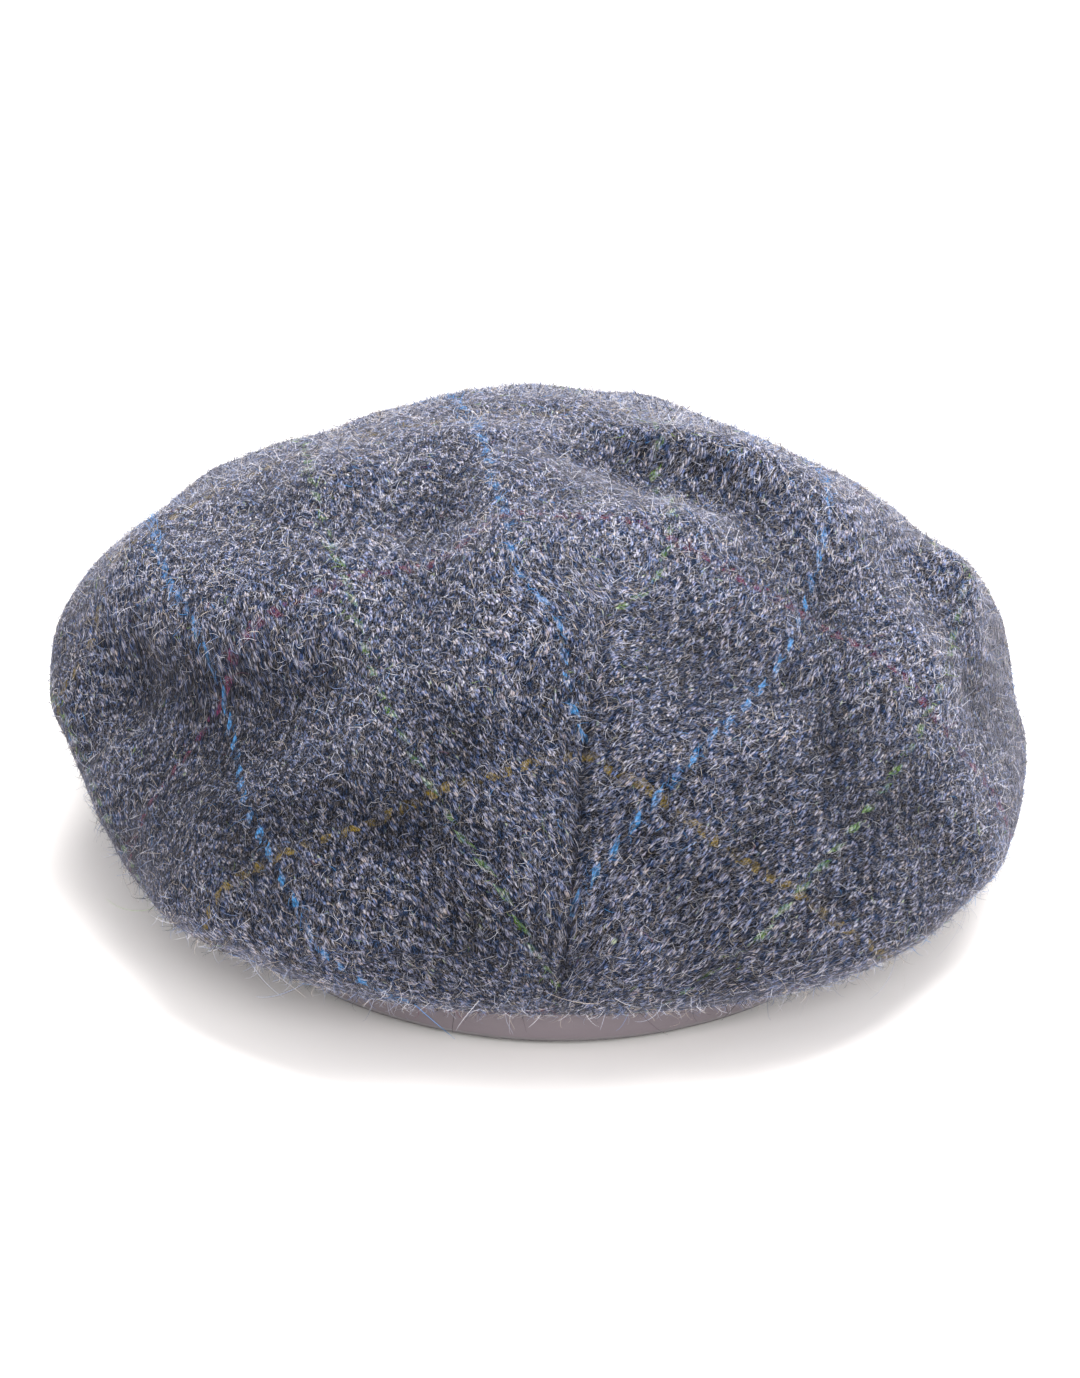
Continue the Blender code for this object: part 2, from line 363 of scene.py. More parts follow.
    def _tufts(self, tree: Tree, threads: Socket) -> tuple[Socket, Socket, Socket]:
        """Breaks the floats up into short tufts that lie along the warp.

        Args:
            tree: the material's node tree.
            threads: the place among the threads.

        Returns:
            The distance from each tuft's middle, its colour of chance, and its middle.
        """
        width, length = (size * MM for size in self.tuft_mm)
        terms = (threads, (1 / width, 1 / length, 0.0))
        cells = add_node(tree, "VectorMath", terms, operation="MULTIPLY")
        tufts = {"Vector": cells, "Scale": 1.0, "Randomness": self.tuft_randomness}
        tuft = add_node(tree, "TexVoronoi", tufts, voronoi_dimensions="2D").node.outputs
        terms = (tuft["Position"], (width, length, 0.0))
        middle = add_node(tree, "VectorMath", terms, operation="MULTIPLY")
        return tuft["Distance"], tuft["Color"], middle

    def _warp_up(self, tree: Tree, place: Socket) -> Socket:
        """Says where the warp lies over the weft: two over, two under, one step on at each pick.

        The steps turn back from stripe to stripe, which makes the herringbone.

        Args:
            tree: the material's node tree.
            place: a place among the threads.

        Returns:
            One where the warp is up, nought where the weft is.
        """
        step, along, _ = add_node(tree, "SeparateXYZ", (place,)).node.outputs
        rows = (
            ("SUBTRACT", self.stripe_start_mm * MM),
            ("PINGPONG", self.stripe_mm * MM),
            ("MULTIPLY", 1 / (self.end_mm * MM)),
        )
        for operation, size in rows:
            step = add_node(tree, "Math", (step, size), operation=operation)
        terms = (along, 1 / (self.pick_mm * MM), step)
        step = add_node(tree, "Math", terms, operation="MULTIPLY_ADD")
        step = add_node(tree, "Math", (step, TWILL_REPEAT), operation="FLOORED_MODULO")
        return add_node(tree, "Math", (step, TWILL_FLOAT), operation="LESS_THAN")

    def _yarn_colour(self, tree: Tree, chance: Socket, warp_up: Socket) -> Socket:
        """Colours each tuft: light or dark by its yarn and by chance, with a dye of its own.

        Args:
            tree: the material's node tree.
            chance: the tuft's colour of chance.
            warp_up: one where the warp is up.

        Returns:
            The tuft's colour.
        """
        light, lot, _ = add_node(tree, "SeparateColor", (chance,)).node.outputs
        light = add_node(tree, "Math", (light, 1 - self.warp_share), operation="MULTIPLY")
        terms = (warp_up, self.warp_share, light)
        shade = add_node(tree, "Math", terms, operation="MULTIPLY_ADD")
        shade = add_node(tree, "ValToRGB", (shade,))
        set_ramp(shade.node, self.tufts)
        dye = add_node(tree, "ValToRGB", (lot,))
        set_ramp(dye.node, self.dyes, "CONSTANT")
        shades = {0: 1.0, 6: shade, 7: dye}
        return add_node(tree, "Mix", shades, 2, data_type="RGBA", blend_type="MULTIPLY")

    def _nap_light_and_shade(self, tree: Tree, flat: Socket) -> Socket:
        """Gives how bright the cloth is, by the nap map with its painted light and shade.

        It is lighter on the rolls and towards the top, darker in the hollows, and has the nap's own
        patches.

        Args:
            tree: the material's node tree.
            flat: the place on the cloth.

        Returns:
            A factor round one.
        """
        own = add_node(tree, "SeparateXYZ", (add_node(tree, "UVMap", uv_map=NAP_AND_SHADE_MAP),))
        clouds = {
            "Vector": flat, "Scale": scale_for(self.nap_grain_mm), "Detail": 3.0, "Roughness": 0.6,
        }
        terms = (add_node(tree, "TexNoise", clouds), self.nap_patches, own)
        nap = add_node(tree, "Math", terms, operation="MULTIPLY_ADD")
        return add_node(tree, "MapRange", (nap, *self.nap_and_light_span, *self.nap_and_light_shown))

    def _check(
        self, tree: Tree, colour: Socket, threads: Socket, flat: Socket, deep: Socket
    ) -> Socket:
        """Draws the overcheck: single bright threads that show where they float on top.

        Args:
            tree: the material's node tree.
            colour: the ground.
            threads: the place among the threads.
            flat: the place on the cloth.
            deep: how deep the gaps between the tufts lie.
        """
        clouds = {"Vector": flat, "Scale": scale_for(self.worn_grain_mm), "Detail": 3.0}
        worn = add_node(tree, "TexNoise", clouds)
        worn = add_node(tree, "MapRange", (worn, *self.worn_span, *self.worn_shown))
        clouds = {"Vector": flat, "Scale": scale_for(self.faded_grain_mm), "Detail": 1.0}
        faded = add_node(tree, "TexNoise", clouds)
        faded = add_node(tree, "MapRange", (faded, *self.faded_span, *self.faded_shown))
        left = add_node(tree, "Math", (worn, faded), operation="MULTIPLY", use_clamp=True)
        tops = add_node(tree, "MapRange", {"Value": deep, 3: 1.0, 4: self.thread_in_gaps})
        warp_up = self._warp_up(tree, threads)
        weft_up = add_node(tree, "Math", (1.0, warp_up), operation="SUBTRACT")
        across, along, _ = add_node(tree, "SeparateXYZ", (threads,)).node.outputs
        rows = (
            (across, self.check_mm[0], warp_up, CheckLine.SKY, CheckLine.LIME),
            (along, self.check_mm[1], weft_up, CheckLine.WINE, CheckLine.MUSTARD),
        )
        for place, pitch, on_top, even, odd in rows:
            count = add_node(tree, "Math", (place, 1 / (pitch * MM)), operation="MULTIPLY")
            near = add_node(tree, "Math", (count,), operation="ROUND")
            away = add_node(tree, "Math", (count, near), operation="SUBTRACT")
            away = add_node(tree, "Math", (away,), operation="ABSOLUTE")
            share = add_node(tree, "Math", (away, self.thread_mm / pitch), operation="LESS_THAN")
            is_odd = add_node(tree, "Math", (near, 2.0), operation="FLOORED_MODULO")
            is_odd = add_node(tree, "Math", (is_odd, 0.5), operation="GREATER_THAN")
            plain = add_node(tree, "MapRange", {"Value": is_odd, 3: even.shown, 4: odd.shown})
            for factor in (on_top, left, tops, plain):
                share = add_node(tree, "Math", (share, factor), operation="MULTIPLY")
            shades = {0: is_odd, 6: even.colour, 7: odd.colour}
            thread = add_node(tree, "Mix", shades, output=2, data_type="RGBA")
            shades = {0: share, 6: colour, 7: thread}
            colour = add_node(tree, "Mix", shades, output=2, data_type="RGBA")
        return colour

    def _hairs(self, tree: Tree, flat: Socket) -> Socket:
        """Strews pale brushed hairs, drawn as long thin blotches that lie three ways.

        Args:
            tree: the material's node tree.
            flat: the place on the cloth.

        Returns:
            How much of the hair colour shows.
        """
        total: Socket | float = 0.0
        for stroke in self.hair_strokes:
            way = {"Vector": flat, "Angle": stroke.turn_rad}
            turned = add_node(tree, "VectorRotate", way, rotation_type="Z_AXIS")
            terms = (turned, (scale_for(stroke.across_mm), scale_for(stroke.along_mm), 1.0))
            drawn = add_node(tree, "VectorMath", terms, operation="MULTIPLY")
            clouds = {"Vector": drawn, "Scale": 1.0, "Detail": 2.0, "Distortion": self.hair_bend}
            mask = add_node(tree, "TexNoise", clouds)
            mask = add_node(tree, "MapRange", (mask, *self.hair_span, *self.hair_shown))
            total = add_node(tree, "Math", (total, mask), operation="MAXIMUM")
        return total

    def _seam_shade(self, tree: Tree, colour: Socket, flat: Socket) -> Socket:
        """Paints shade into the bottom of the sewn seam, where the two turned-in edges meet.

        Args:
            tree: the material's node tree.
            colour: the cloth's colour.
            flat: the place on the cloth.

        Returns:
            The colour with the seam in it.
        """
        place = add_node(tree, "UVMap", uv_map=SEAM_MAP)
        aside, below, _ = add_node(tree, "SeparateXYZ", (place,)).node.outputs
        aside = add_node(tree, "Math", (aside,), operation="ABSOLUTE")
        near = add_node(tree, "MapRange", (aside, *(size * MM for size in self.seam_mm)))
        sewn = add_node(tree, "MapRange", (below, *(size * MM for size in self.seam_start_mm)))
        # noise that breaks the painted shade into patches
        clouds = {"Vector": flat, "Scale": scale_for(self.seam_grain_mm), "Detail": 3.0}
        worn = add_node(tree, "TexNoise", clouds)
        worn = add_node(tree, "MapRange", (worn, *self.seam_span, *self.seam_shown))
        share = add_node(tree, "Math", (near, sewn), operation="MULTIPLY")
        share = add_node(tree, "Math", (share, worn), operation="MULTIPLY")
        # painted shade: the bottom of the seam's groove turns towards a near-black colour
        shades = {0: share, 6: colour, 7: linear(self.seam_shade_colour)}
        return add_node(tree, "Mix", shades, output=2, data_type="RGBA")

    def _bump(self, tree: Tree, deep: Socket, hairs: Socket, flat: Socket) -> Socket:
        """Raises the tufts and the hairs.

        Args:
            tree: the material's node tree.
            deep: how deep the gaps between the tufts lie.
            hairs: how much hair shows.
            flat: the place on the cloth.

        Returns:
            The bumped normal.
        """
        height = add_node(tree, "Math", (1.0, deep), operation="SUBTRACT")
        clouds = {
            "Vector": flat, "Scale": scale_for(self.lump_mm), "Detail": 4.0, "Roughness": 0.75,
        }
        lumps = add_node(tree, "TexNoise", clouds)
        for part, share in ((lumps, self.lump_relief), (hairs, self.hair_relief)):
            height = add_node(tree, "Math", (part, share, height), operation="MULTIPLY_ADD")
        relief = {
            "Height": height, "Distance": self.relief_mm * MM, "Strength": self.relief_strength,
        }
        return add_node(tree, "Bump", relief)


@dataclass(frozen=True)
class Satin:
    """Polyester satin, woven so that long floats lie side by side.

    The floats give a smooth face with a soft broad sheen and only the faintest rib, and the
    sweatband turns darker and bluer in a thin line along its lower edge, next to the floor. The
    real weave is too fine to show, so its ribs and grain are drawn as coarse as they need to be.
    """

    name: str = "polyester_satin_woven"
    colour: str = "665c62"
    light: str = "726a6e"
    cloud_mm: float = 22.22
    edge: str = "3d3f58"
    edge_mm: Span = (0.9, 0.54)
    rib_mm: float = 1.583
    rib_relief: float = 0.4
    grain_mm: float = 0.4545
    relief_mm: float = 0.08
    relief_strength: float = 0.5
    roughness: float = 0.42
    sheen: float = 0.15

    def make(self) -> Material:
        """Builds the material on Object coordinates."""
        material, tree, shader = new_material(self.name)
        place = add_node(tree, "TexCoord", output="Object")
        clouds = {"Vector": place, "Scale": scale_for(self.cloud_mm), "Detail": 3.0}
        cloud = add_node(tree, "TexNoise", clouds)
        shades = {0: cloud, 6: linear(self.colour), 7: linear(self.light)}
        colour = add_node(tree, "Mix", shades, output=2, data_type="RGBA")
        height = add_node(tree, "SeparateXYZ", (place,), output="Z")
        # a darker, bluer line along the lower edge, within a millimetre of the floor
        lower_edge = add_node(tree, "MapRange", (height, *(size * MM for size in self.edge_mm)))
        shades = {0: lower_edge, 6: colour, 7: linear(self.edge)}
        set_inputs(tree, shader, {
            "Base Color": add_node(tree, "Mix", shades, output=2, data_type="RGBA"),
            "Normal": self._bump(tree, place),
            "Roughness": self.roughness,
            "Sheen Weight": self.sheen,
        })
        return material

    def _bump(self, tree: Tree, place: Socket) -> Socket:
        """Raises the ribs and the grain.

        Args:
            tree: the material's node tree.
            place: the place on the piece.

        Returns:
            The bumped normal.
        """
        # a wave texture at a scale of one repeats every tenth of pi units
        scale = math.pi / 10 * scale_for(self.rib_mm)
        bands = {"Vector": place, "Scale": scale, "Distortion": 1.5, "Detail": 2.0}
        ribs = add_node(tree, "TexWave", bands, output="Fac", bands_direction="Z")
        grain = add_node(tree, "TexNoise", {"Vector": place, "Scale": scale_for(self.grain_mm)})
        weave = add_node(tree, "Math", (ribs, self.rib_relief, grain), operation="MULTIPLY_ADD")
        relief = {
            "Height": weave, "Distance": self.relief_mm * MM, "Strength": self.relief_strength,
        }
        return add_node(tree, "Bump", relief)


@dataclass(frozen=True)
class WoolHair:
    """Loose wool fibres, dyed before spinning and raised by the brush.

    Each fibre has one colour of the blend, mostly pale grey and slate, a few of them bright, and
    those where the nap map is low are mixed towards a dark colour: partly the nap lying flat,
    partly painted shade in the hollows and low on the crown.
    """

    name: str = "wool_fibre_dyed"
    blend: Stops = (
        (0.00, "a8aaba"), (0.12, "d2d1da"), (0.22, "7888ae"), (0.32, "b9aea4"), (0.42, "07090e"),
        (0.66, "2c3446"), (0.80, "585d73"), (0.90, "4388c8"), (0.94, "7b9a44"), (0.97, "6a3047"),
        (0.99, "746328"),
    )
    # the colour of painted shade on the fibres where the nap map is low
    deep: str = "161b28"
    matted_shade_span: Span = (0.62, 0.0)
    matted_shade_shown: Span = (0.0, 0.7)
    roughness: float = 0.75
    gloss: float = 0.3

    def make(self) -> Material:
        """Builds the material on the hair map: one number for each fibre, and its nap map, which
        carries painted light and shade.
        """
        material, tree, shader = new_material(self.name)
        place = add_node(tree, "UVMap", uv_map=HAIR_MAP)
        number, nap, _ = add_node(tree, "SeparateXYZ", (place,)).node.outputs
        own = add_node(tree, "ValToRGB", (number,))
        set_ramp(own.node, self.blend, "CONSTANT")
        # painted shade: fibres where the nap map is low, in the hollows and low on the crown, turn
        # darker
        matted_and_shaded = add_node(tree, "MapRange", (nap, *self.matted_shade_span, *self.matted_shade_shown))
        shades = {0: matted_and_shaded, 6: own, 7: linear(self.deep)}
        set_inputs(tree, shader, {
            "Base Color": add_node(tree, "Mix", shades, output=2, data_type="RGBA"),
            "Roughness": self.roughness,
            "Specular IOR Level": self.gloss,
        })
        return material


@dataclass(frozen=True)
class FloorPaper:
    """Matt white studio paper, coated and rolled: an even pale ground with no pattern to see."""

    name: str = "studio_paper_matt_white"
    colour: str = "f6f2ef"
    shade: str = "f2eeeb"
    cloud_mm: float = 333.3
    roughness: float = 0.9
    gloss: float = 0.1

    def make(self) -> Material:
        """Builds the material on Object coordinates."""
        material, tree, shader = new_material(self.name)
        place = add_node(tree, "TexCoord", output="Object")
        cloud = add_node(tree, "TexNoise", {"Vector": place, "Scale": scale_for(self.cloud_mm)})
        shades = {0: cloud, 6: linear(self.colour), 7: linear(self.shade)}
        set_inputs(tree, shader, {
            "Base Color": add_node(tree, "Mix", shades, output=2, data_type="RGBA"),
            "Roughness": self.roughness,
            "Specular IOR Level": self.gloss,
        })
        return material


def fade(away: np.ndarray, width: float) -> np.ndarray:
    """Falls off softly from one at no distance to hardly anything at twice the width."""
    return np.exp(-((away / width) ** 2))


@dataclass(frozen=True)
class Drift:
    """One term of the threads' drift: its powers of the flat place, and its shift."""

    across_power: int
    along_power: int
    across_mm: float
    along_mm: float


@dataclass(frozen=True)
class Tug:
    """One spot where the threads are pulled aside: its flat place, its width and its shift."""

    place_mm: Span
    width_mm: float
    across_mm: float
    along_mm: float


@dataclass(frozen=True)
class ClothPlan:
    """How the flat cloth lies over the crown.

    A dart is taken out of the cloth below a tip high on the back, and its two edges are sewn
    together down the centre-back seam, so the threads meet there as chevrons. The crown is spread
    round its top first, with the lengths down its sides kept, and then opened at the seam. The
    steaming has pulled the threads a little out of line: by a drift over the whole, which is a sum
    of powers of the place, and by tugs.
    """

    axis: Span = (0.0013, 0.0311)
    top: float = 0.1049
    roundness: float = 1.535
    hem_level: float = 0.030
    hem_band: float = 4.0 * MM
    hem_step: int = 5
    hem_window_rad: float = 0.06
    tip_mm: Span = (-16.5, 53.8)
    seam_turn: float = 10.0
    seam_bow: Place = (1.1e-05, -2.48e-03, 0.142)
    seam_bow_reach_mm: Span = (4.0, 95.0)
    seam_side_rad: float = 1.2
    left_take_up: float = 31.0
    right_take_up: float = 34.0
    drift_unit_mm: float = 100.0
    drift_limit_mm: float = 130.0
    drifts: tuple[Drift, ...] = (
        Drift(0, 0, -34, 13), Drift(1, 0, 26, -3), Drift(0, 1, 10, -10), Drift(2, 0, 0, 10),
        Drift(1, 1, 4, 9), Drift(0, 2, -4, 4), Drift(3, 0, -8, -8), Drift(2, 1, -8, 10),
        Drift(1, 2, 4, 5), Drift(0, 3, 10, -2),
    )
    left_tugs: tuple[Tug, ...] = (
        Tug((1, 69), 16, 11, 0), Tug((9, 36), 16, 8, 2), Tug((34, 48), 16, 7, -5),
        Tug((82, 38), 16, 6, 10), Tug((98, 98), 26, -5, 14), Tug((114, 70), 15, 0, -4),
        Tug((64, 135), 20, -5, 0), Tug((12, 134), 20, 3, -2),
    )
    right_tugs: tuple[Tug, ...] = (
        Tug((-19, 108), 18, 0, 3), Tug((-72, 54), 20, -4, 7), Tug((-64, 18), 20, -6, 0),
    )

    def spread(self, points: np.ndarray) -> np.ndarray:
        """Spreads points of the crown flat round its top.

        Args:
            points: places on the crown, one to a row.

        Returns:
            Flat places in millimetres, the second number growing to the back.
        """
        offset = points[:, :2] - np.array(self.axis)
        radius = np.hypot(offset[:, 0], offset[:, 1])
        heading = np.arctan2(offset[:, 0], offset[:, 1])
        length = self._length(radius, np.clip(self.top - points[:, 2], 0, None))
        at_hem = np.abs(points[:, 2] - self.hem_level) < self.hem_band
        rim = self._rim(heading, heading[at_hem], radius[at_hem])
        turned = np.hypot(rim - radius, self.hem_level - points[:, 2])
        turned = turned + self._length(rim, self.top - self.hem_level)
        under = points[:, 2] < self.hem_level
        length = np.where(under, turned, length) / MM
        return np.stack([length * np.sin(heading), length * np.cos(heading)], axis=1)

    def _length(self, radius: np.ndarray, fall: np.ndarray | float) -> np.ndarray:
        """Gives the length of cloth from the top to a place so far out and so far down."""
        return (radius ** self.roundness + fall ** self.roundness) ** (1 / self.roundness)

    def _rim(
        self, heading: np.ndarray, hem_heading: np.ndarray, hem_radius: np.ndarray
    ) -> np.ndarray:
        """Gives the crown's radius at the hem, where the cloth turns under.

        Args:
            heading: the headings that it is wanted for, in radians.
            hem_heading: the headings of the points near the hem.
            hem_radius: their distances from the axis.

        Returns:
            The greatest radius at each heading.
        """
        even = np.radians(np.arange(-180, 180, self.hem_step))
        near = [np.abs(hem_heading - angle) < self.hem_window_rad for angle in even]
        widest = np.array([hem_radius[beside].max() for beside in near])
        return np.interp(heading, np.append(even, math.pi), np.append(widest, widest[0]))

    def round_the_tip(self, flat: np.ndarray) -> tuple[np.ndarray, np.ndarray]:
        """Gives flat places by their distance from the dart's tip and their angle from the seam.

        Args:
            flat: flat places in millimetres.

        Returns:
            Distances in millimetres, and angles in radians, positive on the wearer's left.
        """
        offset = flat - np.array(self.tip_mm)
        turn = math.radians(self.seam_turn)
        down = offset @ np.array((math.sin(turn), math.cos(turn)))
        left = offset @ np.array((math.cos(turn), -math.sin(turn)))
        distance = np.hypot(down, left)
        bow = np.polyval(self.seam_bow, np.clip(distance, *self.seam_bow_reach_mm))
        angle = np.arctan2(left, down) - bow
        return distance, (angle + math.pi) % (2 * math.pi) - math.pi

    def threads(self, flat: np.ndarray, left_side: np.ndarray) -> np.ndarray:
        """Gives the place of each flat point among the cloth's threads.

        Args:
            flat: flat places in millimetres.
            left_side: whether each belongs to the cloth on the wearer's left of the seam.

        Returns:
            Places across and along the warp, in metres.
        """
        distance, angle = self.round_the_tip(flat)
        angle = np.where(left_side & (angle < -math.pi / 2), angle + 2 * math.pi, angle)
        angle = np.where(~left_side & (angle > math.pi / 2), angle - 2 * math.pi, angle)
        take = np.radians(np.where(left_side, self.left_take_up, self.right_take_up))
        sign = np.where(left_side, 1.0, -1.0)
        cut = sign * take + angle * (math.pi - take) / math.pi
        across, along = distance * np.sin(cut), distance * np.cos(cut)
        limit, unit = self.drift_limit_mm, self.drift_unit_mm
        x, y = np.clip(across, -limit, limit) / unit, np.clip(along, -limit, limit) / unit
        for drift in self.drifts:
            power = x ** drift.across_power * y ** drift.along_power
            across, along = across + drift.across_mm * power, along + drift.along_mm * power
        behind = np.clip(1 - np.abs(angle) / math.pi, 0, 1)
        for side, tugs in ((left_side, self.left_tugs), (~left_side, self.right_tugs)):
            for tug in tugs:
                away = np.hypot(flat[:, 0] - tug.place_mm[0], flat[:, 1] - tug.place_mm[1])
                share = side * behind * fade(away, tug.width_mm)
                across, along = across + tug.across_mm * share, along + tug.along_mm * share
        return np.stack([across, along], axis=1) * MM

    def beside_seam(self, flat: np.ndarray) -> np.ndarray:
        """Gives how far each flat point is from the seam, and how far down from its tip.

        Args:
            flat: flat places in millimetres.

        Returns:
            Both distances in metres; a point that isn't below the tip counts as a metre away.
        """
        distance, angle = self.round_the_tip(flat)
        beside = np.abs(angle) < self.seam_side_rad
        aside = np.where(beside, distance * np.sin(angle), 1 / MM)
        return np.stack([aside, distance * np.cos(angle)], axis=1) * MM


def read_numbers(
    parts: bpy.types.bpy_prop_collection, name: str, width: int = 1, kind: type = float
) -> np.ndarray:
    """Reads one property of all parts of a mesh.

    Args:
        parts: the mesh's points, corners, faces or triangles.
        name: the property.
        width: how many numbers each part has.
        kind: the numbers' type.

    Returns:
        The numbers, with a row for each part where each has more than one.
    """
    numbers = np.empty(len(parts) * width, dtype=kind)
    parts.foreach_get(name, numbers)
    return numbers if width == 1 else numbers.reshape(-1, width)


def read_points(mesh: bpy.types.Mesh) -> tuple[np.ndarray, np.ndarray]:
    """Reads a mesh's points and the normals there, one to a row."""
    return read_numbers(mesh.vertices, "co", 3), read_numbers(mesh.vertices, "normal", 3)


def write_map(mesh: bpy.types.Mesh, name: str, places: np.ndarray) -> None:
    """Adds a UV map to a mesh.

    Args:
        mesh: the mesh.
        name: the map's name.
        places: a place for each corner of each face, one to a row.
    """
    layer = mesh.uv_layers.new(name=name)
    layer.uv.foreach_set("vector", places.astype(np.float32).ravel())


def dress(mesh: bpy.types.Mesh, *materials: Material) -> None:
    """Gives a mesh its materials in place of the ones it has.

    Args:
        mesh: the mesh.
        materials: its new materials, in order.
    """
    mesh.materials.clear()
    for material in materials:
        mesh.materials.append(material)


def link(name: str, mesh: bpy.types.Mesh, slot: str, *nodes: str) -> bpy.types.Object:
    """Puts a finished mesh into the scene as a piece of the cap.

    Args:
        name: the piece's name.
        mesh: its mesh.
        slot: a material slot's name; it is not used.
        nodes: the CAD nodes that it stands for.

    Returns:
        The piece's object.
    """
    piece = bpy.data.objects.new(name, mesh)
    bpy.context.scene.collection.objects.link(piece)
    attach(piece, ROOT)
    if nodes:
        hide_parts(*nodes)
    return piece


def finer_copy(node: bpy.types.Object, levels: int) -> bpy.types.Mesh:
    """Copies a CAD node's mesh as welded quads and rounds it by subdivision.

    Args:
        node: the CAD node.
        levels: how many times each face is divided.

    Returns:
        The finer mesh, shaded smooth.
    """
    welded = bmesh.new()
    welded.from_mesh(node.data)
    bmesh.ops.remove_doubles(welded, verts=welded.verts, dist=WELD_GAP)
    bmesh.ops.join_triangles(
        welded, faces=welded.faces, angle_face_threshold=math.radians(QUAD_BEND),
        angle_shape_threshold=math.radians(QUAD_SKEW),
    )
    mesh = bpy.data.meshes.new(f"{node.name}_welded")
    welded.to_mesh(mesh)
    welded.free()
    carrier = bpy.data.objects.new(mesh.name, mesh)
    bpy.context.scene.collection.objects.link(carrier)
    rounding = carrier.modifiers.new("rounding", "SUBSURF")
    rounding.levels = rounding.render_levels = levels
    shaped = carrier.evaluated_get(bpy.context.evaluated_depsgraph_get())
    finer = bpy.data.meshes.new_from_object(shaped)
    bpy.data.objects.remove(carrier)
    finer.shade_smooth()
    return finer


@dataclass(frozen=True)
class Swell:
    """One slack fold of the crown: a roll if it stands out, a valley if it lies in."""

    name: str
    start_mm: Place
    end_mm: Place
    width_mm: float
    height_mm: float

    def heights(self, points: np.ndarray) -> np.ndarray:
        """Gives how far the fold moves each point.

        Args:
            points: places on the crown, one to a row.

        Returns:
            The heights in metres, positive outwards.
        """
        start, end = np.array(self.start_mm) * MM, np.array(self.end_mm) * MM
        run = end - start
        share = np.clip((points - start) @ run / (run @ run), 0, 1)
        away = np.linalg.norm(points - start - share[:, None] * run, axis=1)
        return self.height_mm * MM * fade(away, self.width_mm * MM)


